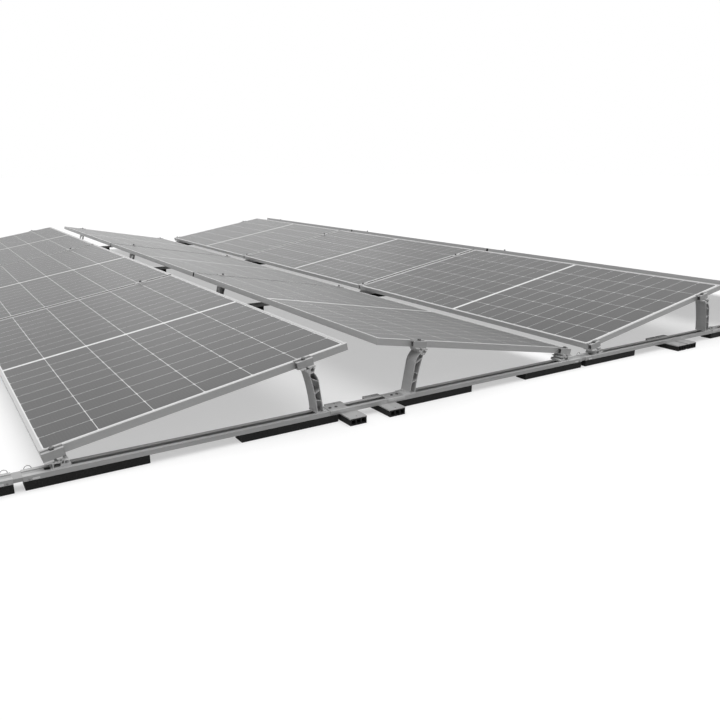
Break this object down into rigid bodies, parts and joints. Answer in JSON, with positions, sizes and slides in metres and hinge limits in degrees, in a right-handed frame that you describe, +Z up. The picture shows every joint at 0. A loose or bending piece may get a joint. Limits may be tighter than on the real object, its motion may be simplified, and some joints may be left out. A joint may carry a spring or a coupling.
{
  "type": "solar ballast mount",
  "caption": "East-west flat-roof solar array: tilted modules clamped on low and curved high supports, on channel rails over rubber mats and ballast feet.",
  "frame": {"origin": "middle of the outline at the height of the floor", "axes": "+X along the rails toward the second tent, +Y along the module rows away from the pictured front, +Z up"},
  "size_m": [5.205, 6.548, 0.2939],
  "materials": {
    "rail_metal": "mill finish, drawn along the rail",
    "bright_metal": "bright mill finish",
    "support_metal": "mill finish extrusion",
    "clamp_metal": "mill finish extrusion",
    "tray_metal": "folded sheet",
    "frame_metal": "clear anodised satin",
    "steel": "bright steel",
    "bolt": "dark passivated steel",
    "rubber": "matt bonded granulate",
    "foot_black": "matt black",
    "glass": "low-iron front glass",
    "cell": "dark silicon cells under glass",
    "back_sheet": "white sheet",
    "box_black": "fine texture"
  },
  "bodies": {
    "root": {"rail": "rail_metal", "rail_stub": "rail_metal", "connector": "bright_metal", "locking_pin": "steel", "pin_ring": "steel", "locking_tab": "bright_metal", "mat": "rubber", "ridge_mat": "rubber", "low_support": "support_metal", "high_support": "support_metal", "end_clamp": "clamp_metal", "end_clamp_bolt": "bolt", "mid_clamp": "clamp_metal", "mid_clamp_bolt": "bolt", "clamp_nut": "steel", "saddle": "support_metal", "saddle_bolt": "bolt", "saddle_nut": "steel", "foot_base": "foot_black", "foot_tray": "tray_metal", "frame_long": "frame_metal", "frame_short": "frame_metal", "glass": "glass", "cell_strings": "cell", "back_sheet": "back_sheet", "junction_box": "box_black"}
  },
  "joints": []
}
